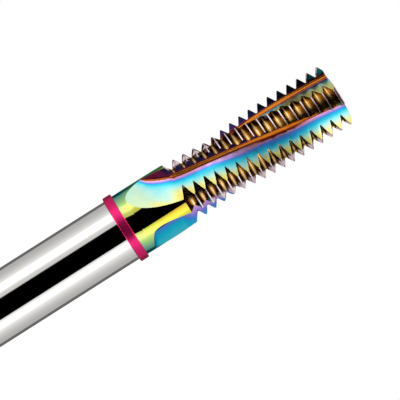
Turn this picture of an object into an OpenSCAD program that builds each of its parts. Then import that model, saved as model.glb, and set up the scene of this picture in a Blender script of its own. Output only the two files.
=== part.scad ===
// Solid carbide thread mill: round shank, colour ring, helical flutes and rows of annular 60 degree teeth.
// Millimetres. The tool stands on its shank end, +Z runs along the axis to the cutting tip.

/* [Shank] */
// Diameter of the round shank
shank_d = 12; // [11:0.5:12.5]
// Whole length from the shank end to the cutting tip
overall_l = 90; // [88:1:120]
// Height of the 45 degree chamfer on the shank end
shank_chamfer = 0.6; // [0.2:0.1:1.5]

/* [Colour ring] */
// Distance from the shank end to the ring, which is the clamping length
ring_z = 45.2; // [30:0.1:45.5]
// Width of the ring along the axis
ring_w = 1.7; // [1.2:0.1:2.5]
// How far the ring stands out from the shank
ring_t = 0.52; // [0.3:0.02:1]
// Rounding of the ring's two outer edges
ring_edge_r = 0.22; // [0.05:0.01:0.28]
// Depth of the groove in the shank that the ring sits in
ring_groove = 0.2; // [0.17:0.01:0.3]
// Gap between the ring and its groove, at the bore and at both sides
ring_clearance = 0.01; // [0.005:0.005:0.04]

/* [Teeth] */
// Diameter over the cutting edges
cut_d = 12.2; // [11.8:0.1:13]
// Distance from tooth to tooth
pitch = 2; // [1.75:0.05:2]
// Number of teeth in each row
tooth_n = 16; // [8:1:16]
// Height of a tooth at its cutting edge
tooth_h = 1.35; // [1:0.05:1.4]
// Width of the flat on top of a tooth
crest_w = 0.2; // [0.1:0.02:0.22]
// Included angle of a tooth
tooth_angle = 60; // [50:1:60]
// Distance from the last tooth to the end of the tool
tip_l = 0.6; // [0.4:0.05:0.9]
// How much longer the slope below the first tooth is than a tooth's own flank
shoulder_lead = 0.3; // [0:0.05:0.5]
// Offset of the relief circle, which lowers a tooth behind its cutting edge
relief = 0.6; // [0.3:0.05:0.7]

/* [Flutes] */
// Number of flutes
flute_n = 4; // [3:1:4]
// Helix angle on the shank diameter, right hand
helix_angle = 13.5; // [5:0.5:20]
// Angle of the first cutting edge at the tip
edge_turn = 24.5; // [0:0.5:90]
// Diameter of the core that the flute floors touch
core_d = 7.84; // [7.4:0.02:8]
// Angle from a rake face to the deepest line of its floor
floor_angle = 10.7; // [6:0.1:14]
// Crown of a floor between its fillet and the next heel
floor_crown = 0.03; // [0.02:0.01:0.08]
// Fillet between the rake face and the floor
flute_fillet = 0.8; // [0.4:0.05:1]
// Length of the flutes on the plain shank, from the shoulder to where they run out
runout_l = 8.6; // [7:0.1:9]
// Diameter of the grinding wheel, which lifts the floors as it leaves the work
wheel_d = 80; // [60:2:100]
// Angle that a floor turns by while the wheel leaves
runout_turn = 21.5; // [12:0.5:26]
// Lean of the rake wall where the wide flutes run out on the shank
wide_lean = 36; // [20:1:40]
// How much the fillet of a wide flute grows over its run-out
wide_growth = 0.4; // [0:0.1:0.8]
// Lean of the rake wall where the narrow flutes in between run out
narrow_lean = -6; // [-8:1:4]
// How much the fillet of a narrow flute grows over its run-out
narrow_growth = 1.8; // [1:0.1:2]
// Angle that a narrow flute turns by beyond the others at its very end
narrow_sweep = 19; // [0:1:20]

/* [Hidden] */
$fn = 96;
shank_r = shank_d / 2;
cut_r = cut_d / 2;
core_r = core_d / 2;
step = 360 / flute_n;
lead = PI * shank_d / tan(helix_angle);
// Radii of the crests and roots about the relief circle's own centre
crest_r = sqrt(pow(cut_r, 2) + pow(relief, 2));
root_r = crest_r - tooth_h;
half_tan = tan(tooth_angle / 2);
root_w = pitch - crest_w - 2 * tooth_h * half_tan;
// Heights of the first root, of the shoulder that leads down to it and of the end of the run-out
first_z = overall_l - tip_l - (tooth_n - 0.5) * pitch;
shoulder_z = first_z - root_w / 2 - (shank_r - cut_r + tooth_h) * half_tan - shoulder_lead;
runout_z = shoulder_z - runout_l;
// The shank ends a little below the run-outs, and the head of the same rod reaches down inside it
plain_l = 0.4;
join_l = 0.4;
head_z = runout_z - plain_l;
foot_z = head_z - join_l;
// Foot of the ring, which stays below the head on a short tool
ring_margin = 0.2;
ring_foot = min(ring_z, foot_z - ring_w - ring_margin);
// Length over which the leaving wheel lifts a floor from the core to the shank
lift = shank_r - core_r;
wheel_r = wheel_d / 2;
lift_l = sqrt(2 * wheel_r * lift - lift * lift);
// The faceted head stays this much inside the round shank, so that no facet stands out of it
seat = 0.006;
body_r = shank_r - seat;
// The rake wall starts from this radius where it leans over the run-out
corner_r = core_r + 0.45;
land_n = 4;
fillet_n = 4;
floor_n = 3;
run_n = 16;

function polar(r, a) = [r * cos(a), r * sin(a)];
function turned(p, a) = [p[0] * cos(a) - p[1] * sin(a), p[0] * sin(a) + p[1] * cos(a)];
function turn_at(z) = edge_turn + (z - overall_l) * 360 / lead;
// Distance along a line from p in direction d to the far side of a circle of radius r about the origin
function reach(p, d, r) = -p * d + sqrt(max(0, pow(p * d, 2) - p * p + r * r));
// Radius of the tooth form at a height
function form_r(z) =
    let (s = abs((z - first_z) / pitch - round((z - first_z) / pitch)) * pitch)
    root_r + min(tooth_h, max(0, s - root_w / 2) / half_tan);
// Share of the wheel's lift at a height, with the floor that the wheel makes there, w is true in a wide flute
function lift_part(z) = min(1, max(0, (runout_z + lift_l - z) / lift_l));
function floor_r(z) = core_r + wheel_r - sqrt(pow(wheel_r, 2) - pow(lift_part(z) * lift_l, 2));
function floor_turn(z, w) = floor_angle + runout_turn * pow(lift_part(z), 1.15)
    + (w ? 0 : narrow_sweep * pow(lift_part(z), 16));
// Share of the run-out below a height, over which the fillet grows
function run_part(z) = min(1, max(0, (shoulder_z - z) / runout_l));
function fillet_r(z, w) = flute_fillet + (w ? wide_growth : narrow_growth) * run_part(z);
// Centre of a fillet of radius f that touches a rake wall leaning by t and a floor of radius c turned by a
function fillet_centre(a, t, c, f) =
    let (p = f + corner_r * sin(t), q = c + f, d = -cos(a + t))
    [(p * sin(a) - q * cos(t)) / d, (q * sin(t) - p * cos(a)) / d];
// Points between two ends, without the ends, on a flat crown of height h
function between(p, q, n, h) =
    let (d = (q - p) / norm(q - p))
    [for (i = [1 : n - 1]) p + (q - p) * i / n + [d[1], -d[0]] * 4 * h * i * (n - i) / (n * n)];

// One land and the flute ahead of it on the toothed head, from the heel round to the next heel
function heel(rho, c, a) =
    let (n = polar(c, a - step), d = polar(1, a - step + 90))
    n + d * reach(n - [0, relief], d, rho);
function head_section(z, w) =
    let (
        rho = form_r(z),
        c = floor_r(z),
        a = floor_turn(z, w),
        back = heel(rho, c, a),
        from = atan2(back[1] - relief, back[0]),
        to = -asin(relief / rho),
        m = fillet_centre(a, 0, c, flute_fillet),
        fillet = [for (i = [0 : fillet_n]) m - polar(flute_fillet, 90 + (a - 90) * i / fillet_n)]
    )
    concat(
        [for (i = [0 : land_n]) [0, relief] + polar(rho, from + (to - from) * i / land_n)],
        fillet,
        between(fillet[fillet_n], turned(back, step), floor_n, floor_crown)
    );

// The same points on the plain shank, where the floor lifts until the flute is gone
// w is true in a wide flute and v in the one before it
function shank_section(z, w, v) =
    let (
        t = w ? wide_lean : narrow_lean,
        c = min(floor_r(z), body_r - 0.0005),
        a = floor_turn(z, w),
        f = fillet_r(z, w),
        half = acos(c / body_r),
        start = floor_turn(z, v) + half - step,
        low = polar(body_r, a + half),
        m = fillet_centre(a, t, c, f),
        wall = m - polar(f, 90 - t),
        foot = m - polar(f, a),
        d = polar(1, -t),
        k = (m * m + pow(f, 2) - pow(body_r, 2)) / (2 * f * norm(m)),
        cross = atan2(m[1], m[0]) + acos(min(1, max(-1, k))),
        walled = norm(wall) < body_r,
        filleted = norm(foot) < body_r,
        from = walled ? 90 - t : min(90 - t, cross),
        up = walled ? [corner_r, 0] + d * reach([corner_r, 0], d, body_r)
            : filleted ? m - polar(f, from) : polar(body_r, a - half),
        top = atan2(up[1], up[0]),
        skip = walled ? 0 : 1,
        arc = [for (i = [skip : fillet_n + skip])
            m - polar(f, from + (a - from) * i / (fillet_n + skip))]
    )
    concat(
        [for (i = [0 : land_n]) polar(body_r, start + (top - start) * i / land_n)],
        filleted
            ? concat(arc, between(foot, low, floor_n, floor_crown * (1 - run_part(z))))
            : between(up, low, fillet_n + floor_n + 1, 0)
    );
function plain_section(z, w, v) = [for (p = shank_section(z, w, v)) p * body_r / norm(p)];
// Every second flute is a wide one
function is_wide(i) = (i + flute_n) % flute_n % 2 == 1;

// Heights of all sections: round end, run-out, shoulder, then root and crest of each tooth up to the tip
run_zs = [for (i = [0 : run_n]) shoulder_z - runout_l * (1 - pow(i / run_n, 1.8))];
tooth_zs = [for (k = [0 : tooth_n - 1])
    for (s = [-root_w, root_w, pitch - crest_w, pitch + crest_w]) first_z + k * pitch + s / 2];
head_zs = concat([foot_z], run_zs, tooth_zs, [overall_l]);
// All points of one section, flute by flute
function ring_at(z) =
    [for (i = [0 : flute_n - 1])
        let (w = is_wide(i), v = is_wide(i - 1))
        for (p = z < runout_z ? plain_section(runout_z, w, v)
            : z < shoulder_z + 0.01 ? shank_section(z, w, v) : head_section(z, w))
        concat(turned(p, turn_at(z) + i * step), [z])];

// Everything above the plain shank: run-outs, shoulder, lands with their relieved teeth, and flutes
module head() {
    m = len(ring_at(foot_z));
    n = len(head_zs);
    points = [for (z = head_zs) for (p = ring_at(z)) p];
    sides = [for (j = [0 : n - 2])
        for (i = [0 : m - 1])
        let (p = j * m + i, q = j * m + (i + 1) % m)
        for (face = [[p, p + m, q + m], [p, q + m, q]]) face];
    ends = [[for (i = [0 : m - 1]) i], [for (i = [m - 1 : -1 : 0]) (n - 1) * m + i]];
    polyhedron(points, concat(sides, ends), convexity = 10);
}

module shank() {
    rotate_extrude()
        polygon([
            [0, 0],
            [shank_r - shank_chamfer, 0],
            [shank_r, shank_chamfer],
            [shank_r, ring_foot - ring_clearance],
            [shank_r - ring_groove, ring_foot - ring_clearance],
            [shank_r - ring_groove, ring_foot + ring_w + ring_clearance],
            [shank_r, ring_foot + ring_w + ring_clearance],
            [shank_r, head_z],
            [0, head_z]
        ]);
}

module tool_body() {
    color("silver") {
        shank();
        head();
    }
}

// Plastic band that snaps into its groove in the shank
module colour_ring() {
    bore_r = shank_r - ring_groove + ring_clearance;
    rim_r = shank_r + ring_t;
    color("deeppink")
        translate([0, 0, ring_foot])
            rotate_extrude() {
                translate([bore_r, 0]) square([rim_r - ring_edge_r - bore_r, ring_w]);
                translate([bore_r, ring_edge_r]) square([rim_r - bore_r, ring_w - 2 * ring_edge_r]);
                for (z = [ring_edge_r, ring_w - ring_edge_r])
                    translate([rim_r - ring_edge_r, z]) circle(ring_edge_r);
            }
}

tool_body();
colour_ring();
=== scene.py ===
# thread mill: polished carbide shank, magenta marking ring, fluted head with a rainbow film
import math
import bpy
import numpy as np
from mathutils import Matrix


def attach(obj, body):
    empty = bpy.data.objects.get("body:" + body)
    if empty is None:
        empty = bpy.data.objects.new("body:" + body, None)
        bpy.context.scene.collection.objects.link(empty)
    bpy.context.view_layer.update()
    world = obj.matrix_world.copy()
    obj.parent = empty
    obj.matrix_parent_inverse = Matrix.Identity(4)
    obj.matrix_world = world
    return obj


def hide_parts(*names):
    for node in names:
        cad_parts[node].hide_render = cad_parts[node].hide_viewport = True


mm = 0.001
tiny = 1e-7  # metres, for tests of where a point lies
margin = 0.001  # mm, the same on the sections of the head
nearlyOne = 0.999

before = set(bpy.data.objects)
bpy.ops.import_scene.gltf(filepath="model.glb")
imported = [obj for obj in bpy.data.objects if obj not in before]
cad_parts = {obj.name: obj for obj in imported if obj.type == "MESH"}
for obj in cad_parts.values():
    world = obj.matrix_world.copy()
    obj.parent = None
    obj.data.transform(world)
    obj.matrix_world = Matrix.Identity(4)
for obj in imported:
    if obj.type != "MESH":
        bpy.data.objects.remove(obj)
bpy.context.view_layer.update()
print("frame loaded:", ", ".join(sorted(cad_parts)))


def linear(hexCode):
    channels = [int(hexCode[i:i + 2], 16) / 255 for i in (1, 3, 5)]
    return tuple(c / 12.92 if c <= 0.04045 else ((c + 0.055) / 1.055) ** 2.4 for c in channels) + (1.0,)


def add(tree, kind, inputs=None, stops=None, **settings):
    made = tree.nodes.new(kind)
    for name, value in settings.items():
        setattr(made, name, value)
    for name, value in (inputs or {}).items():
        if isinstance(value, bpy.types.NodeSocket):
            tree.links.new(value, made.inputs[name])
        else:
            made.inputs[name].default_value = value
    if stops:
        while len(made.color_ramp.elements) < len(stops):
            made.color_ramp.elements.new(0.5)
        for element, (place, colour) in zip(made.color_ramp.elements, sorted(stops)):
            element.position = place
            element.color = linear(colour) if isinstance(colour, str) else (colour, colour, colour, 1)
    return made


def newMaterial(name):
    material = bpy.data.materials.new(name)
    material.use_nodes = True
    material.node_tree.nodes.clear()
    return material, material.node_tree


def freshObject(name):  # the primitive just added becomes a named piece
    made = bpy.context.object
    made.name = name
    made.data.name = name
    return made


def editFaces(obj, wanted):
    bpy.ops.object.mode_set(mode="OBJECT")
    for face in obj.data.polygons:
        face.select = wanted(face)
    for edge in obj.data.edges:
        edge.select = False
    for vert in obj.data.vertices:
        vert.select = False
    bpy.ops.object.mode_set(mode="EDIT")
    bpy.ops.mesh.select_mode(type="FACE")


def editEdges(obj, wanted):
    bpy.ops.object.mode_set(mode="EDIT")
    bpy.ops.mesh.select_mode(type="EDGE")
    bpy.ops.mesh.select_all(action="DESELECT")
    bpy.ops.object.mode_set(mode="OBJECT")
    verts = obj.data.vertices
    for edge in obj.data.edges:
        edge.select = wanted(verts[edge.vertices[0]].co, verts[edge.vertices[1]].co)
    bpy.ops.object.mode_set(mode="EDIT")


# ground cemented carbide under a thin interference film: a mirror on the collar, duller in the flutes and
# on the teeth, tinted by film values that hold the film's thickness and, on the head, painted shade, highlights
# and reflections
coat = {
    "range": (-0.12, 1.25),  # film values at both ends of the colour ramps
    "lineWidth": 0.18,  # mm, real grinding lines are finer, these are as coarse as the render needs
    "cloudSize": 1.5,  # mm
    "streaks": 0.05, "clouds": 0.03,  # how far the lines and clouds change the film
    "wear": (0.85, 1.15),  # the roughness is multiplied by this
    "lineDepth": 0.004,  # mm
}
roundColours = {  # colour against film value on the round of the tool and on its teeth; the pale gold at 1.00 is the roots' gold paled into a painted highlight, the browns to 1.12 are partly painted shade in the grooves
    0.50: "#2a6c9c", 0.60: "#5cb0b4", 0.68: "#86d0ba", 0.72: "#a0e0b0", 0.76: "#b4ee98", 0.80: "#d4f284",
    0.85: "#e6ee6c", 0.90: "#eae650", 0.95: "#f6d03e", 1.00: "#fdecbc", 1.04: "#c89e54", 1.08: "#84683c",
    1.12: "#402c1c", 1.16: "#f0dce0", 1.25: "#f6eef2",
}
fluteColours = {  # colour against film value in the flutes, from the rake face to the heel; the black at -0.06 is a painted dark reflection and the teal at -0.12 a painted highlight, both on the rake faces
    -0.12: "#1c9490", -0.06: "#0c0c14", 0.00: "#283264", 0.03: "#a42c60", 0.06: "#7c1c3c", 0.085: "#4c0e14",
    0.13: "#f89c30", 0.16: "#c45c1c", 0.20: "#7a1424", 0.25: "#f8a8a8", 0.30: "#fcc4ee", 0.36: "#dcb0fc",
    0.42: "#989cff", 0.48: "#50acff", 0.55: "#28dcff", 0.62: "#74f4ff", 0.70: "#bcfaf4", 0.77: "#dcfad4",
    0.84: "#f8f6a0", 0.92: "#f8ea6c",
}


def filmStops(colours):
    low, high = coat["range"]
    return [((value - low) / (high - low), colour) for value, colour in colours.items()]


filmMaterial, tree = newMaterial("coatedCarbide")
thickness = add(tree, "ShaderNodeAttribute", attribute_name="film")
inFlute = add(tree, "ShaderNodeAttribute", attribute_name="ground")
lay = add(tree, "ShaderNodeAttribute", attribute_name="lay")  # mm across the grinding lines
gloss = add(tree, "ShaderNodeAttribute", attribute_name="satin")
where = add(tree, "ShaderNodeTexCoord")
lines = add(tree, "ShaderNodeTexNoise",
            {"W": lay.outputs["Fac"], "Scale": 1 / coat["lineWidth"], "Detail": 2.0}, noise_dimensions="1D")
clouds = add(tree, "ShaderNodeTexNoise",
             {"Vector": where.outputs["Object"], "Scale": 1 / (coat["cloudSize"] * mm), "Detail": 2.0})
streaks = add(tree, "ShaderNodeMath",
              {0: lines.outputs["Fac"], 1: coat["streaks"], 2: -coat["streaks"] / 2}, operation="MULTIPLY_ADD")
streaked = add(tree, "ShaderNodeMath",
               {0: streaks.outputs[0], 1: inFlute.outputs["Fac"], 2: thickness.outputs["Fac"]},
               operation="MULTIPLY_ADD")
uneven = add(tree, "ShaderNodeMath",
             {0: clouds.outputs["Fac"], 1: coat["clouds"], 2: -coat["clouds"] / 2}, operation="MULTIPLY_ADD")
grown = add(tree, "ShaderNodeMath", {0: streaked.outputs[0], 1: uneven.outputs[0]}, operation="ADD")
scaled = add(tree, "ShaderNodeMapRange",
             {0: grown.outputs[0], 1: coat["range"][0], 2: coat["range"][1], 3: 0.0, 4: 1.0})
roundTint = add(tree, "ShaderNodeValToRGB", {"Fac": scaled.outputs[0]}, stops=filmStops(roundColours))
fluteTint = add(tree, "ShaderNodeValToRGB", {"Fac": scaled.outputs[0]}, stops=filmStops(fluteColours))
tint = add(tree, "ShaderNodeMix",
           {0: inFlute.outputs["Fac"], 6: roundTint.outputs[0], 7: fluteTint.outputs[0]}, data_type="RGBA")
worn = add(tree, "ShaderNodeMapRange",
           {0: clouds.outputs["Fac"], 1: 0.25, 2: 0.75, 3: coat["wear"][0], 4: coat["wear"][1]})
rough = add(tree, "ShaderNodeMath", {0: gloss.outputs["Fac"], 1: worn.outputs[0]}, operation="MULTIPLY")
depth = add(tree, "ShaderNodeMapRange", {0: gloss.outputs["Fac"], 1: 0.05, 2: 0.5, 3: 0.03, 4: 1.0})
relief = add(tree, "ShaderNodeBump",
             {"Strength": depth.outputs[0], "Distance": coat["lineDepth"] * mm, "Height": lines.outputs["Fac"]})
surface = add(tree, "ShaderNodeBsdfPrincipled",
              {"Base Color": tint.outputs[2], "Metallic": 1.0, "Roughness": rough.outputs[0],
               "Specular Tint": tint.outputs[2], "Normal": relief.outputs[0]})
add(tree, "ShaderNodeOutputMaterial", {"Surface": surface.outputs[0]})

# centreless-ground and polished carbide: clear reflections, faint grinding lines round the shank
polish = {"lineWidth": 0.25, "lineDepth": 0.0003, "stretch": 0.02, "rough": (0.04, 0.065)}  # mm
shankMaterial, tree = newMaterial("polishedCarbide")
where = add(tree, "ShaderNodeTexCoord")
flattened = add(tree, "ShaderNodeMapping",
                {"Vector": where.outputs["Object"], "Scale": (polish["stretch"], polish["stretch"], 1.0)})
lines = add(tree, "ShaderNodeTexNoise",
            {"Vector": flattened.outputs[0], "Scale": 1 / (polish["lineWidth"] * mm), "Detail": 3.0})
rough = add(tree, "ShaderNodeMapRange",
            {0: lines.outputs["Fac"], 1: 0.3, 2: 0.7, 3: polish["rough"][0], 4: polish["rough"][1]})
relief = add(tree, "ShaderNodeBump",
             {"Strength": 1.0, "Distance": polish["lineDepth"] * mm, "Height": lines.outputs["Fac"]})
surface = add(tree, "ShaderNodeBsdfPrincipled",
              {"Base Color": linear("#f7f5f2"), "Metallic": 1.0, "Roughness": rough.outputs[0],
               "Normal": relief.outputs[0]})
add(tree, "ShaderNodeOutputMaterial", {"Surface": surface.outputs[0]})

# plastic with a metallic pigment under a clear skin: satin gloss, tinted highlights, darker at the sides
plastic = {
    "grain": 0.2, "grainDepth": 0.002,  # mm
    "colours": ("#ee1c70", "#ff2a82"), "sideColour": "#8c1448", "rough": (0.25, 0.33), "skin": 0.2,
}
ringMaterial, tree = newMaterial("pigmentedPlastic")
where = add(tree, "ShaderNodeTexCoord")
grain = add(tree, "ShaderNodeTexNoise",
            {"Vector": where.outputs["Object"], "Scale": 1 / (plastic["grain"] * mm), "Detail": 2.0})
colour = add(tree, "ShaderNodeMix",
             {0: grain.outputs["Fac"], 6: linear(plastic["colours"][0]), 7: linear(plastic["colours"][1])},
             data_type="RGBA")
rough = add(tree, "ShaderNodeMapRange",
            {0: grain.outputs["Fac"], 1: 0.3, 2: 0.7, 3: plastic["rough"][0], 4: plastic["rough"][1]})
relief = add(tree, "ShaderNodeBump",
             {"Strength": 1.0, "Distance": plastic["grainDepth"] * mm, "Height": grain.outputs["Fac"]})
surface = add(tree, "ShaderNodeBsdfPrincipled",
              {"Base Color": colour.outputs[2], "Metallic": 0.75, "Roughness": rough.outputs[0],
               "Specular IOR Level": 0.25, "Specular Tint": linear(plastic["sideColour"]),
               "Coat Weight": plastic["skin"], "Coat Roughness": 0.25, "Normal": relief.outputs[0]})
add(tree, "ShaderNodeOutputMaterial", {"Surface": surface.outputs[0]})
print("materials made")


# shank with its chamfered end, up to the top of the ring's groove
shank = {  # mm and degrees
    "radius": 6.0,
    "wall": 45.19,  # up to the groove of the ring
    "chamfer": 0.6,
    "grooveDepth": 0.2,
    "grooveTop": 46.91,
    "sides": 256,
    "smoothAngle": 20,
}
bpy.ops.object.select_all(action="DESELECT")
bpy.ops.mesh.primitive_cylinder_add(
    vertices=shank["sides"], radius=shank["radius"] * mm, depth=shank["wall"] * mm,
    location=(0, 0, shank["wall"] * mm / 2))
shankPiece = freshObject("shank")
bpy.ops.object.transform_apply(location=True, rotation=True, scale=True)
editFaces(shankPiece, lambda face: face.normal.z > 0.9)
bpy.ops.mesh.inset(thickness=shank["grooveDepth"] * mm)
bpy.ops.mesh.extrude_region_move(
    TRANSFORM_OT_translate={"value": (0, 0, (shank["grooveTop"] - shank["wall"]) * mm)})
editEdges(shankPiece, lambda a, b: a.z < tiny and b.z < tiny)
bpy.ops.mesh.bevel(offset=shank["chamfer"] * mm, segments=1)
bpy.ops.object.mode_set(mode="OBJECT")
bpy.ops.object.shade_smooth_by_angle(angle=math.radians(shank["smoothAngle"]))
shankPiece.data.materials.append(shankMaterial)
print("shank:", len(shankPiece.data.polygons), "faces")


# marking ring, rounded at its two outer edges
ring = {  # mm and degrees
    "foot": 45.2, "width": 1.7, "outer": 6.52, "bore": 5.81, "edge": 0.22, "rimMargin": 0.05,
    "sides": 192, "smoothAngle": 35,
}
bpy.ops.object.select_all(action="DESELECT")
bpy.ops.mesh.primitive_cylinder_add(
    vertices=ring["sides"], radius=ring["outer"] * mm, depth=ring["width"] * mm,
    end_fill_type="NOTHING", location=(0, 0, (ring["foot"] + ring["width"] / 2) * mm))
ringPiece = freshObject("markingRing")
bpy.ops.object.transform_apply(location=True, rotation=True, scale=True)
wall = ringPiece.modifiers.new("wall", "SOLIDIFY")
wall.thickness = (ring["outer"] - ring["bore"]) * mm
wall.offset = -1
bpy.ops.object.modifier_apply(modifier=wall.name)
rimRadius = (ring["outer"] - ring["rimMargin"]) * mm
editEdges(ringPiece, lambda a, b: min(a.xy.length, b.xy.length) > rimRadius and abs(a.z - b.z) < tiny)
bpy.ops.mesh.bevel(offset=ring["edge"] * mm, segments=6)
bpy.ops.object.mode_set(mode="OBJECT")
bpy.ops.object.shade_smooth_by_angle(angle=math.radians(ring["smoothAngle"]))
ringPiece.data.materials.append(ringMaterial)
print("ring:", len(ringPiece.data.polygons), "faces")


# cutting head: collar with the run-outs, then lands with relieved teeth and helical flutes
head = {  # mm and degrees
    "foot": 46.91, "tip": 90.0, "shankRadius": 6.0,
    "cutRadius": 6.1, "relief": 0.6, "pitch": 2.0, "teeth": 16, "toothHeight": 1.35, "toothAngle": 60,
    "crest": 0.2, "tipLength": 0.6,
    "flutes": 4, "helix": 13.5, "edgeTurn": 24.5, "core": 3.92,
    "floorAngle": 10.7, "floorCrown": 0.03, "fillet": 0.8,
    "shoulderLead": 0.3, "neck": 8.6, "wheel": 40.0, "cornerLift": 0.45,
    "runoutTurn": 21.5, "turnPower": 1.15, "sweepPower": 16,
    "leans": (-6.0, 36.0), "sweeps": (19.0, 0.0), "growths": (1.8, 0.4),  # run-outs of narrow and wide flutes
    "landCuts": 16, "rakeCuts": 6, "filletCuts": 8, "floorCuts": 14, "shankCuts": 24, "runoutCuts": 48,
    "rakeSpacing": 1.6, "runoutSpacing": 1.8, "flankCuts": (0.33, 0.67), "rootAngles": range(-60, 61, 15),
    "collarCut": 0.3,  # a section this far below the run-outs
    "shortest": 1e-9,  # a shorter line is a point
    "floorSpan": 5.4,  # this much floor counts as 1 in the place across a flute
    "narrowPlace": 1.9,  # the walls of narrow flutes count as floor where they run out
    "smoothAngle": 20,
}


def polar(r, degrees):
    return np.array([r * math.cos(math.radians(degrees)), r * math.sin(math.radians(degrees))])


def turned(points, degrees):
    c, s = math.cos(math.radians(degrees)), math.sin(math.radians(degrees))
    return np.stack([points[:, 0] * c - points[:, 1] * s, points[:, 0] * s + points[:, 1] * c], 1)


def reach(p, d, r):  # distance along a line to the far side of a circle
    along = p @ d
    return -along + math.sqrt(max(0.0, along * along - p @ p + r * r))


def degreesOf(p):
    return math.degrees(math.atan2(p[1], p[0]))


sector = 360 / head["flutes"]
lead = 2 * math.pi * head["shankRadius"] / math.tan(math.radians(head["helix"]))
crestRadius = math.hypot(head["cutRadius"], head["relief"])
rootRadius = crestRadius - head["toothHeight"]
flank = math.radians(head["toothAngle"] / 2)
rootFlat = head["pitch"] - head["crest"] - 2 * head["toothHeight"] * math.tan(flank)
rootRound = rootFlat / 2 * math.cos(flank) / (1 - math.sin(flank))  # arc that fills the root between its flanks
arcEnd = rootRound * math.cos(flank)
flankEnd = (head["pitch"] - head["crest"]) / 2
firstRoot = head["tip"] - head["tipLength"] - (head["teeth"] - 0.5) * head["pitch"]
firstFoot = firstRoot - arcEnd
firstSlope = (head["shankRadius"] - head["cutRadius"] + head["toothHeight"]) * math.tan(flank)
shoulder = firstRoot - rootFlat / 2 - firstSlope - head["shoulderLead"]
runoutFoot = shoulder - head["neck"]
lift = head["shankRadius"] - head["core"]
runLength = math.sqrt(2 * head["wheel"] * lift - lift ** 2)  # the wheel lifts over this length
rakeFoot = head["core"] + head["cornerLift"]  # radius where a leaning wall starts
reliefCentre = np.array([0.0, head["relief"]])
fluteCuts = head["rakeCuts"] + head["filletCuts"] + head["floorCuts"]


def formRadius(z):  # tooth form at a height, about the centre of the relief
    turns = (z - firstRoot) / head["pitch"]
    s = abs(turns - round(turns)) * head["pitch"]
    if s < arcEnd:
        return rootRadius + rootRound - math.sqrt(rootRound ** 2 - s ** 2)
    return rootRadius + min(head["toothHeight"], (s - rootFlat / 2) / math.tan(flank))


def filletCentre(tilt, lean, distance, radius):  # of a fillet between a leaning wall and a tilted floor
    tilt, lean = math.radians(tilt), math.radians(lean)
    fromWall, fromFloor, spread = radius + rakeFoot * math.sin(lean), distance + radius, -math.cos(tilt + lean)
    return np.array([(fromWall * math.sin(tilt) - fromFloor * math.cos(lean)) / spread,
                     (fromFloor * math.sin(lean) - fromWall * math.cos(tilt)) / spread])


def runShare(z):  # 0 on the toothed head, 1 at the foot of the run-outs
    return min(1.0, max(0.0, (shoulder - z) / head["neck"]))


def floorAt(z, kind):  # distance and tilt of the floor, which the leaving wheel lifts, and its fillet's radius
    share = min(1.0, max(0.0, (runoutFoot + runLength - z) / runLength))
    distance = head["core"] + head["wheel"] - math.sqrt(head["wheel"] ** 2 - (share * runLength) ** 2)
    tilt = (head["floorAngle"] + head["runoutTurn"] * share ** head["turnPower"]
            + head["sweeps"][kind] * share ** head["sweepPower"])
    radius = head["fillet"] + head["growths"][kind] * runShare(z)
    return min(distance, head["shankRadius"]), tilt, radius


def crowned(start, end, fractions, height):  # points on a line with a crown of that height
    along = (end - start) / np.linalg.norm(end - start)
    normal = np.array([along[1], -along[0]])
    return [start + (end - start) * f + normal * 4 * height * f * (1 - f) for f in fractions]


def heel(landRadius, distance, tilt):  # where the floor of the flute before meets the land
    middle, along = polar(distance, tilt - sector), polar(1, tilt - sector + 90)
    return middle + along * reach(middle - reliefCentre, along, landRadius)


def headSector(z, kind):  # land from heel to cutting edge, then flute from the edge to the next heel
    landRadius = formRadius(z)
    distance, tilt, radius = floorAt(z, kind)
    back = heel(landRadius, distance, tilt)
    start, end = degreesOf(back - reliefCentre), -math.degrees(math.asin(head["relief"] / landRadius))
    land = [reliefCentre + polar(landRadius, start + (end - start) * i / head["landCuts"])
            for i in range(head["landCuts"] + 1)]
    centre = filletCentre(tilt, 0, distance, radius)
    wallPoint, edge = centre - polar(radius, 90), land[-1]
    rake = [wallPoint + (edge - wallPoint) * (1 - i / head["rakeCuts"]) ** head["rakeSpacing"]
            for i in range(head["rakeCuts"])]
    fillet = [centre - polar(radius, 90 + (tilt - 90) * i / head["filletCuts"])
              for i in range(head["filletCuts"])]
    foot, last = centre - polar(radius, tilt), turned(back[None], sector)[0]
    steps = [i / head["floorCuts"] for i in range(head["floorCuts"] + 1)]
    floor = crowned(foot, last, steps, head["floorCrown"])
    place = ([(head["cutRadius"] - p[0]) / (head["cutRadius"] - wallPoint[0]) for p in rake]
             + [1 + i / head["filletCuts"] for i in range(head["filletCuts"])]
             + [2 + np.linalg.norm(p - foot) / head["floorSpan"] for p in floor])
    part = [0.0] * (len(rake) + len(fillet)) + steps
    return np.array(land), np.array(rake + fillet + floor), np.array(place), np.array(part)


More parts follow.
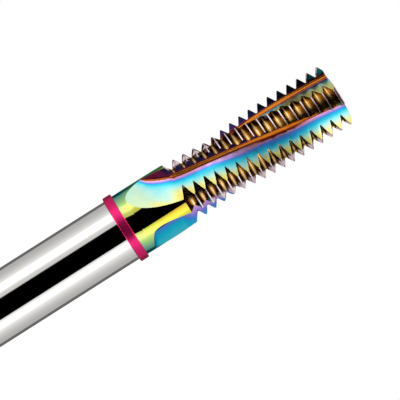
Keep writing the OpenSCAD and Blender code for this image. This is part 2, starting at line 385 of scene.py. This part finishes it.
def shankSector(z, kind):  # the same on the plain shank, where the wall leans and the flute runs out
    distance, tilt, radius = floorAt(z, kind)
    outer, cuts = head["shankRadius"], head["shankCuts"]
    lean = head["leans"][kind]
    wallTurn = 90 - lean
    half = math.degrees(math.acos(distance / outer))
    low = polar(outer, tilt + half)
    centre = filletCentre(tilt, lean, distance, radius)
    wallPoint, foot = centre - polar(radius, wallTurn), centre - polar(radius, tilt)
    corner, along = np.array([rakeFoot, 0.0]), polar(1, -lean)
    # the fillet's arc is cut short where it leaves the round of the shank
    bend = (centre @ centre + radius * radius - outer * outer) / (2 * radius * np.linalg.norm(centre))
    cross = degreesOf(centre) + math.degrees(math.acos(min(1, max(-1, bend))))
    walled, filleted = np.linalg.norm(wallPoint) < outer, np.linalg.norm(foot) < outer
    arcStart = wallTurn if walled else min(wallTurn, cross)
    if walled:
        up = corner + along * reach(corner, along, outer)
    else:
        up = centre - polar(radius, arcStart) if filleted else polar(outer, tilt - half)
    line, place, part = [up], [0.0 if walled else 1 + (wallTurn - arcStart) / (wallTurn - tilt)], [0.0]
    if filleted:
        for i in range(0 if walled else 1, cuts + 1):
            angle = arcStart + (tilt - arcStart) * i / cuts
            line.append(centre - polar(radius, angle))
            place.append(1 + (wallTurn - angle) / (wallTurn - tilt))
            part.append(0.0)
        floorStart = foot
    else:
        floorStart, place[0] = up, 2.0
    if np.linalg.norm(low - floorStart) > head["shortest"]:
        steps = [i / cuts for i in range(1, cuts + 1)]
        for step, p in zip(steps, crowned(floorStart, low, steps, head["floorCrown"] * (1 - runShare(z)))):
            line.append(p)
            place.append(2 + np.linalg.norm(p - floorStart) / head["floorSpan"])
            part.append(step)
    line, place, part = np.array(line), np.array(place), np.array(part)
    if kind == 0:
        place = np.maximum(place, head["narrowPlace"])
    length = np.concatenate([[0], np.cumsum(np.linalg.norm(np.diff(line, axis=0), axis=1))])
    if length[-1] > head["shortest"]:  # spaced evenly along the section
        at = np.linspace(0, length[-1], fluteCuts + 1)
        flute = np.stack([np.interp(at, length, line[:, 0]), np.interp(at, length, line[:, 1])], 1)
        place, part = np.interp(at, length, place), np.interp(at, length, part)
    else:
        flute = np.repeat(up[None], fluteCuts + 1, 0)
        place, part = np.full(fluteCuts + 1, 2.0), np.zeros(fluteCuts + 1)
    start, end = floorAt(z, 1 - kind)[1] + half - sector, degreesOf(up)
    land = np.array([polar(outer, start + (end - start) * i / head["landCuts"])
                     for i in range(head["landCuts"] + 1)])
    return land, flute, place, part


def sectorAt(z, kind):
    if z <= shoulder:
        return shankSector(max(z, runoutFoot), kind)
    if z >= firstFoot:
        return headSector(z, kind)
    share = (z - shoulder) / (firstFoot - shoulder)
    low, high = shankSector(shoulder, kind), headSector(firstFoot, kind)
    return tuple(a + (b - a) * share for a, b in zip(low, high))


# heights of the sections: collar, run-outs, shoulder, then root and flanks of each tooth
heights = [head["foot"], runoutFoot - head["collarCut"]]
heights += [shoulder - head["neck"] * (1 - (i / head["runoutCuts"]) ** head["runoutSpacing"])
            for i in range(head["runoutCuts"] + 1)]
heights += [shoulder + (firstFoot - shoulder) * f for f in head["flankCuts"]]
for tooth in range(head["teeth"]):
    root = firstRoot + tooth * head["pitch"]
    heights += [root + rootRound * math.sin(math.radians(v)) for v in head["rootAngles"]]
    heights += [root + arcEnd + (flankEnd - arcEnd) * f for f in head["flankCuts"] + (1,)]
    nextRoot = root + head["pitch"]
    downCuts = (1,) + head["flankCuts"][::-1] if tooth < head["teeth"] - 1 else (1,)
    heights += [nextRoot - arcEnd - (flankEnd - arcEnd) * f for f in downCuts]
heights += [head["tip"]]

sectorCuts = head["landCuts"] + fluteCuts
columns = sectorCuts * head["flutes"]
rows = len(heights)
grid = np.zeros((rows, columns + 1, 3))
flutePlace, floorPart = np.zeros((rows, columns + 1)), np.zeros((rows, columns + 1))
for j, z in enumerate(heights):
    for i in range(head["flutes"]):
        land, flute, place, part = sectorAt(z, i % 2)
        turn = head["edgeTurn"] + (z - head["tip"]) * 360 / lead + i * sector
        first = i * sectorCuts
        both = turned(np.concatenate([land[:-1], flute[:-1]]), turn)
        grid[j, first:first + sectorCuts, :2] = both
        flutePlace[j, first + head["landCuts"]:first + sectorCuts] = place[:-1]
        flutePlace[j, (first + sectorCuts) % columns] = place[-1]
        floorPart[j, first + head["landCuts"]:first + sectorCuts] = part[:-1]
        floorPart[j, (first + sectorCuts) % columns] = part[-1]
    grid[j, :, 2] = z
grid[:, columns] = grid[:, 0]
flutePlace[:, columns], floorPart[:, columns] = flutePlace[:, 0], floorPart[:, 0]

# a flat grid is rolled round the axis, one row for each section
bpy.ops.object.select_all(action="DESELECT")
bpy.ops.mesh.primitive_grid_add(x_subdivisions=columns, y_subdivisions=rows - 1, size=2)
headPiece = freshObject("cuttingHead")
mesh = headPiece.data
flat = np.zeros(len(mesh.vertices) * 3)
mesh.vertices.foreach_get("co", flat)
flat = flat.reshape(-1, 3)
column = np.rint((flat[:, 0] + 1) / 2 * columns).astype(int)
row = np.rint((flat[:, 1] + 1) / 2 * (rows - 1)).astype(int)
mesh.vertices.foreach_set("co", (grid[row, column] * mm).ravel())


def readCorners(name):
    values = np.zeros(len(mesh.loops))
    mesh.attributes[name].data.foreach_get("value", values)
    return values


def writeCorners(name, values):
    mesh.attributes[name].data.foreach_set("value", values.astype(np.float32))


# what each corner is part of: a land or a flute, and where on it
for name in ("flute", "part", "tooth", "film", "ground", "satin", "lay"):
    mesh.attributes.new(name, "FLOAT", "CORNER")
loopVert = np.zeros(len(mesh.loops), int)
mesh.loops.foreach_get("vertex_index", loopVert)
faceCorners = loopVert.reshape(-1, 4)
onLand = np.repeat(column[faceCorners].min(1) % sectorCuts < head["landCuts"], 4)
cornerRow, cornerColumn = row[loopVert], column[loopVert]
writeCorners("flute", np.where(onLand, -1, flutePlace[cornerRow, cornerColumn]))
landPart = cornerColumn % sectorCuts / head["landCuts"]
writeCorners("part", np.where(onLand, landPart, floorPart[cornerRow, cornerColumn]))
faceLow = row[faceCorners].min(1)
form = np.array([(formRadius(z) - rootRadius) / head["toothHeight"] for z in heights])
onCrest = np.minimum(form[faceLow], form[np.minimum(faceLow + 1, rows - 1)]) > nearlyOne
tooth = np.where(np.repeat(onCrest, 4), 2.0, form[cornerRow])  # 0 root, 1 top of a flank, 2 crest
onCollar = np.repeat(np.array(heights)[faceLow] < shoulder - margin, 4)
writeCorners("tooth", np.where(onCollar, -1, tooth))

bpy.ops.object.mode_set(mode="EDIT")
bpy.ops.mesh.select_all(action="SELECT")
bpy.ops.mesh.remove_doubles(threshold=tiny)
for end in (head["foot"] * mm, head["tip"] * mm):
    editEdges(headPiece, lambda a, b: abs(a.z - end) < tiny and abs(b.z - end) < tiny)
    bpy.ops.mesh.edge_face_add()
bpy.ops.mesh.select_all(action="SELECT")
bpy.ops.mesh.normals_make_consistent(inside=False)
bpy.ops.object.mode_set(mode="OBJECT")
bpy.ops.object.shade_smooth_by_angle(angle=math.radians(head["smoothAngle"]))
mesh.materials.append(filmMaterial)

# film values of the head: the place in a flute is 0 at the edge, 1 to 2 in the fillet, 2 to 3 on the floor. Some
# of these values are painted shade, highlights and reflections, each said where it is set
coating = {
    "across": {  # against the place in a flute
        0.85: 0.0, 1.0: 0.06, 1.12: 0.085, 1.25: 0.125, 1.375: 0.086, 1.5: 0.125, 1.63: 0.135, 1.75: 0.19,
        1.86: 0.21, 1.95: 0.29, 2.06: 0.36, 2.10: 0.47, 2.15: 0.54, 2.22: 0.58, 2.30: 0.63, 2.38: 0.69,
        2.47: 0.76, 2.60: 0.84, 2.80: 0.92,
    },
    "middle": {  # the same half way up the teeth, where the film is thinner
        0.85: 0.0, 0.93: 0.05, 1.0: 0.09, 1.1: 0.12, 1.45: 0.13, 1.75: 0.135, 1.95: 0.15, 2.03: 0.20,
        2.08: 0.21, 2.11: 0.42, 2.17: 0.47, 2.25: 0.50, 2.33: 0.55, 2.40: 0.62, 2.47: 0.72, 2.53: 0.80,
        2.60: 0.86, 2.70: 0.92,
    },
    "runout": {  # the same where the flutes run out
        0.0: 0.04, 0.85: 0.05, 1.1: 0.085, 1.4: 0.13, 1.7: 0.14, 1.92: 0.24, 2.0: 0.30, 2.06: 0.36,
        2.12: 0.47, 2.18: 0.56, 2.26: 0.61, 2.36: 0.65, 2.46: 0.68, 2.60: 0.70, 2.80: 0.72, 2.90: 0.75,
        3.0: 0.80, 3.1: 0.86,
    },
    "aside": {1.9: 0.42, 2.0: 0.44, 2.08: 0.48, 2.2: 0.53, 2.5: 0.57, 3.0: 0.60},  # painted reflection: run-outs that face sideways
    "beside": {1.9: 0.27, 2.1: 0.31, 2.3: 0.37, 2.6: 0.46, 3.0: 0.52},  # painted reflection: floors between teeth that do
    "tip": {1.9: 0.24, 2.02: 0.34, 2.10: 0.44, 2.16: 0.70, 2.3: 0.79, 2.5: 0.83, 3.0: 0.88},  # painted reflection: and near the tip
    # a pair of values is a span: nothing at the first, all at the second
    "sidewaysFacing": (0.72, 0.62),
    "wider": {65: 0.001, 70: 0.18, 74: 0.1, 82: 0.001},  # against height, the bands on the floor draw out
    "middleShare": {70: 0, 75: 1, 80: 1, 85: 0},  # against height
    "rake": {73: 0, 79: -0.06, 86: -0.06, 88.5: -0.11},  # against height: the rake faces darker, a painted dark reflection, then greener to the tip, a painted teal highlight
    "rakePlaces": (0.97, 0.85),
    "runoutRun": (0, 0.25),
    # floors at the foot of the run-outs, rising to the heel
    "leaving": 0.735, "leavingRise": 0.06, "leavingRun": (0.45, 0.7), "leavingPlace": 1.5,
    "lilac": 0.12, "lilacRun": (0.45, 0.05), "lilacPlaces": (2.3, 2.05),  # at the top of a sideways run-out
    "pale": 0.06, "paleRun": (0.5, 0.8), "palePlaces": (2.15, 1.95),  # at its foot
    "asideHeights": (76, 70), "asidePlace": 1.7,
    "tipHeights": (78, 82), "tipPlace": 1.9,
    "collar": 0.90, "collarRise": 0.06, "collarDrop": 0.34,  # the round, its rise to the shoulder and its drop aside, a painted sheen: the colour shifts as the round turns from the front
    "collarBands": {47: -0.07, 49.5: -0.01, 52: 0.02},  # against height
    "tooth": {0.0: 1.0, 0.06: 1.01, 0.16: 1.06, 1.0: 1.09, 1.01: 1.18, 2.0: 1.2},  # root, flank, crest: the root's pale gold is partly a painted highlight, the flanks' dark brown partly painted shade in the grooves
    "rootTop": 0.2, "flankTop": 1.005,
    "land": {0.0: 0.04, 0.3: 0.02, 0.55: 0.0, 0.9: 0.0, 1.0: 0.03},  # painted shade, added from the heel, 0, to the edge, 1: darker at both ends, so the roots' highlight stays between
    "landForm": (0.5, 0),
    "shade": 0.06, "shadeOutward": (0.94, 0.82), "shadeHeights": (72, 76), "shadeParts": (0.5, 0.3),  # painted shade at the heels of the upper teeth, where the round turns from the front and back
    "first": 0.05, "firstHeights": (62, 60), "firstParts": (0.3, 0.1),  # painted shade: darker heels on the first teeth
    "low": 0.02, "lowHeights": (68, 65),  # painted shade: darker flanks on the lower teeth
    "silver": 0.07, "silverEdge": {70: 0.87, 76: 0.75}, "silverFade": 0.22,  # painted reflection: pale flanks at the sides, where they mirror the bright studio
    "silverParts": (0.25, 0.45), "silverHeights": (56, 58),
    "lastCrest": 1.17, "end": 0.9,
}
finish = {  # roughness, and what is taken off where the floors are brighter
    "flute": 0.6, "runout": 0.24, "crest": 0.36, "tooth": 0.22, "collar": 0.045, "end": 0.2, "runoutPlace": 1.8,
    "sideDrop": 0.3, "brightDrop": 0.28,
    "cornerShare": {60: 0, 64: 1, 69: 1, 73: 0}, "cornerPlace": 2.02, "cornerAway": (0.24, 0.12),
    "tipHeights": (80, 84), "tipPlaces": (2.2, 2.4),
}


def fromTable(values, table):
    return np.interp(values, list(table), list(table.values()))


def ramp(values, span):
    return np.clip((values - span[0]) / (span[1] - span[0]), 0, 1)


loopVert = np.zeros(len(mesh.loops), int)
mesh.loops.foreach_get("vertex_index", loopVert)
spots = np.zeros(len(mesh.vertices) * 3)
mesh.vertices.foreach_get("co", spots)
spots = spots.reshape(-1, 3)[loopVert] / mm
normals = np.zeros(len(mesh.loops) * 3)
mesh.corner_normals.foreach_get("vector", normals)
normals = normals.reshape(-1, 3)
place, part, tooth = readCorners("flute"), readCorners("part"), readCorners("tooth")
height = spots[:, 2]
radius = np.hypot(spots[:, 0], spots[:, 1])
facing = np.abs(normals[:, 1])  # 1 where a face looks to the front or back
outward = np.abs(spots[:, 1]) / radius  # 1 at the front and back of the round
run = np.clip((shoulder - height) / head["neck"], 0, 1)  # 0 at the shoulder, 1 at the foot of the run-outs
runningOut = ramp(run, coating["runoutRun"])
sideways = ramp(facing, coating["sidewaysFacing"])

# flutes
onFloor = np.maximum(place - 2, 0)
drawnOut = np.minimum(place, 2) + onFloor ** 2 / (onFloor + fromTable(height, coating["wider"]))
across = fromTable(drawnOut, coating["across"])
across += (fromTable(place, coating["middle"]) - across) * fromTable(height, coating["middleShare"])
# painted dark reflection and teal highlight on the rake faces
across += fromTable(height, coating["rake"]) * ramp(place, coating["rakePlaces"])
across += (fromTable(place, coating["runout"]) - across) * runningOut
leaving = ramp(run, coating["leavingRun"]) * (place > coating["leavingPlace"])
across += (coating["leaving"] + coating["leavingRise"] * part - across) * leaving
# painted reflection: other colours where a flute faces sideways, and near the tip
aside = fromTable(place, coating["aside"])
aside -= coating["lilac"] * ramp(run, coating["lilacRun"]) * ramp(place, coating["lilacPlaces"])
aside += coating["pale"] * ramp(run, coating["paleRun"]) * ramp(place, coating["palePlaces"])
aside += (fromTable(place, coating["beside"]) - aside) * (1 - runningOut)
across += (aside - across) * sideways * ramp(height, coating["asideHeights"]) * (place > coating["asidePlace"])
nearTip = sideways * ramp(height, coating["tipHeights"]) * (place > coating["tipPlace"])
across += (fromTable(place, coating["tip"]) - across) * nearTip

# collar and teeth
# the drop toward the sides of the round is a painted sheen
plain = coating["collar"] + coating["collarRise"] * (1 - run) - coating["collarDrop"] * (1 - facing)
plain += fromTable(height, coating["collarBands"])
inRoot, belowCrest = tooth < coating["rootTop"], tooth < coating["flankTop"]
# tooth film: the pale roots hold a painted highlight and the dark flanks painted groove shade
onTooth = fromTable(tooth, coating["tooth"])
# painted shade along each land, darker at its heel and its edge
onTooth += fromTable(part, coating["land"]) * ramp(tooth, coating["landForm"])
# painted shade at the heels
shade = ramp(outward, coating["shadeOutward"]) * ramp(height, coating["shadeHeights"])
onTooth += coating["shade"] * shade * ramp(part, coating["shadeParts"]) * belowCrest
# painted shade on the roots at the heels of the first teeth
onTooth += coating["first"] * ramp(height, coating["firstHeights"]) * ramp(part, coating["firstParts"]) * inRoot
# painted reflection: paler flanks toward the sides of the round, added to the flanks with the painted shade of
# the lower flanks
silver = np.clip((fromTable(height, coating["silverEdge"]) - outward) / coating["silverFade"], 0, 1)
silver *= ramp(part, coating["silverParts"]) * ramp(height, coating["silverHeights"])
flankPaintedLight = coating["silver"] * silver + coating["low"] * ramp(height, coating["lowHeights"])
onTooth += flankPaintedLight * (belowCrest & ~inRoot)
lastCrest = head["tip"] - head["tipLength"] + head["crest"] / 2
onTooth = np.where(height > lastCrest + margin, coating["lastCrest"], onTooth)

inFlutes = place >= 0
endFace = (np.abs(normals[:, 2]) > nearlyOne) & (height > head["tip"] - margin)
value = np.where(inFlutes, across, np.where(tooth >= 0, onTooth, plain))
writeCorners("film", np.where(endFace, coating["end"], value))
writeCorners("ground", inFlutes & ~endFace)

# roughness and grinding lines, with floors that the wheel left brighter in their corner and near the tip
inRunout = runningOut * (place > finish["runoutPlace"])
onRound = np.where(tooth < 0, finish["collar"], np.where(belowCrest, finish["tooth"], finish["crest"]))
satin = np.where(inFlutes, finish["flute"] + (finish["runout"] - finish["flute"]) * inRunout, onRound)
corner = fromTable(height, finish["cornerShare"])
corner *= ramp(np.abs(place - finish["cornerPlace"]), finish["cornerAway"])
tipFloor = ramp(height, finish["tipHeights"]) * ramp(place, finish["tipPlaces"]) * (1 - nearTip)
satin -= finish["sideDrop"] * nearTip + finish["brightDrop"] * np.maximum(corner, tipFloor) * inFlutes
writeCorners("satin", np.where(endFace, finish["end"], satin))
alongLines = np.where(inFlutes, place * head["floorSpan"], height)
writeCorners("lay", np.where(endFace, radius, alongLines))
for name in ("flute", "part", "tooth"):
    mesh.attributes.remove(mesh.attributes[name])
mesh.update()
print("head:", len(mesh.polygons), "faces")


for piece, node, slot in ((shankPiece, "tool_body", "carbide"), (headPiece, "tool_body", "carbide"),
                          (ringPiece, "colour_ring", "ring_plastic")):
    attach(piece, "root")
    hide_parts(node)
print("pieces set on their body")


# pale floor, white to the camera and clear to reflections
ground = {"size": 6.0, "drop": 0.02 * mm, "colour": "#a0a0a0", "glow": 0.85}  # metres
bpy.ops.object.select_all(action="DESELECT")
bpy.ops.mesh.primitive_plane_add(size=ground["size"], location=(0, 0, -ground["drop"]))
floor = freshObject("floor")
floorMaterial, tree = newMaterial("paleFloor")
path = add(tree, "ShaderNodeLightPath")
paper = add(tree, "ShaderNodeBsdfDiffuse", {"Color": linear(ground["colour"])})
glow = add(tree, "ShaderNodeEmission", {"Color": (1, 1, 1, 1), "Strength": ground["glow"]})
lit = add(tree, "ShaderNodeAddShader", {0: paper.outputs[0], 1: glow.outputs[0]})
seen = add(tree, "ShaderNodeMixShader",
           {0: path.outputs["Is Camera Ray"], 1: paper.outputs[0], 2: lit.outputs[0]})
clear = add(tree, "ShaderNodeBsdfTransparent")
shown = add(tree, "ShaderNodeMixShader",
            {0: path.outputs["Is Glossy Ray"], 1: seen.outputs[0], 2: clear.outputs[0]})
add(tree, "ShaderNodeOutputMaterial", {"Surface": shown.outputs[0]})
floor.data.materials.append(floorMaterial)

# studio round the tool: soft boxes beside the camera, dark gaps between them and behind
studio = {
    "peak": 1.4,
    "panels": {  # light against the angle from the camera side, towards -X
        -180: 1.0, -162: 1.0, -156: 0.13, -132: 0.14, -127: 0.46, -110: 0.48, -90: 0.62, -75: 0.82, -68: 1.0,
        -62: 1.4, -50: 1.3, -42: 0.9, -37.4: 0.8, -36.6: 0.0, 25.2: 0.0, 26.0: 0.62, 38: 0.7, 43: 1.0,
        48: 1.4, 66: 1.4, 74: 0.85, 90: 0.62, 110: 0.48, 127: 0.46, 132: 0.14, 156: 0.13, 162: 1.0, 180: 1.0,
    },
    "gain": 1.6, "gainFrom": 0.38, "gainTo": 0.68,  # the boxes are brighter above and below the tool's own level
    "frontFrom": -0.1, "frontTo": 0.2,  # and only those in front
    "roof": 0.7, "roofFrom": 0.9, "roofTo": 0.97,
}
world = bpy.data.worlds.new("studio")
bpy.context.scene.world = world
world.use_nodes = True
tree = world.node_tree
tree.nodes.clear()
way = add(tree, "ShaderNodeTexCoord")
axes = add(tree, "ShaderNodeSeparateXYZ", {0: way.outputs["Generated"]})
left = add(tree, "ShaderNodeMath", {0: axes.outputs["X"], 1: -1.0}, operation="MULTIPLY")
front = add(tree, "ShaderNodeMath", {0: axes.outputs["Y"], 1: -1.0}, operation="MULTIPLY")
angle = add(tree, "ShaderNodeMath", {0: left.outputs[0], 1: front.outputs[0]}, operation="ARCTAN2")
share = add(tree, "ShaderNodeMapRange", {0: angle.outputs[0], 1: -math.pi, 2: math.pi, 3: 0.0, 4: 1.0})
panels = add(tree, "ShaderNodeValToRGB", {"Fac": share.outputs[0]},
             stops=[((a + 180) / 360, level / studio["peak"]) for a, level in studio["panels"].items()])
steep = add(tree, "ShaderNodeMath", {0: axes.outputs["Z"]}, operation="ABSOLUTE")
overhead = add(tree, "ShaderNodeMapRange",
               {0: steep.outputs[0], 1: studio["roofFrom"], 2: studio["roofTo"], 3: 0.0, 4: 1.0})
beyond = add(tree, "ShaderNodeMapRange",
             {0: steep.outputs[0], 1: studio["gainFrom"], 2: studio["gainTo"], 3: 0.0, 4: 1.0})
ahead = add(tree, "ShaderNodeMapRange",
            {0: front.outputs[0], 1: studio["frontFrom"], 2: studio["frontTo"], 3: 0.0, 4: studio["gain"]})
gain = add(tree, "ShaderNodeMath", {0: beyond.outputs[0], 1: ahead.outputs[0], 2: 1.0}, operation="MULTIPLY_ADD")
sides = add(tree, "ShaderNodeVectorMath", {0: panels.outputs["Color"], 1: gain.outputs[0]}, operation="MULTIPLY")
tent = add(tree, "ShaderNodeMix",
           {0: overhead.outputs[0], 6: sides.outputs[0], 7: (studio["roof"],) * 3 + (1,)}, data_type="RGBA")
around = add(tree, "ShaderNodeBackground", {"Color": tent.outputs[2], "Strength": studio["peak"]})
white = add(tree, "ShaderNodeBackground", {"Color": (1, 1, 1, 1), "Strength": 1.0})
path = add(tree, "ShaderNodeLightPath")
both = add(tree, "ShaderNodeMixShader",
           {0: path.outputs["Is Camera Ray"], 1: around.outputs[0], 2: white.outputs[0]})
add(tree, "ShaderNodeOutputWorld", {"Surface": both.outputs[0]})

camera = {"place": (2.887, -335.9, 53.1), "aim": 59.7, "roll": 57.58, "lens": 171.7}  # mm, degrees
pitchUp = math.atan2(camera["aim"] - camera["place"][2], -camera["place"][1])
bpy.ops.object.camera_add(location=[v * mm for v in camera["place"]])
view = bpy.context.object
view.rotation_mode = "ZYX"  # the roll comes first, then the look along +Y
view.rotation_euler = (math.radians(90) + pitchUp, 0, math.radians(camera["roll"]))
view.data.lens = camera["lens"]
view.data.sensor_width = 36
view.data.clip_start = 0.01
bpy.context.scene.camera = view
bpy.context.scene.view_settings.view_transform = "Standard"
print("studio and camera set")
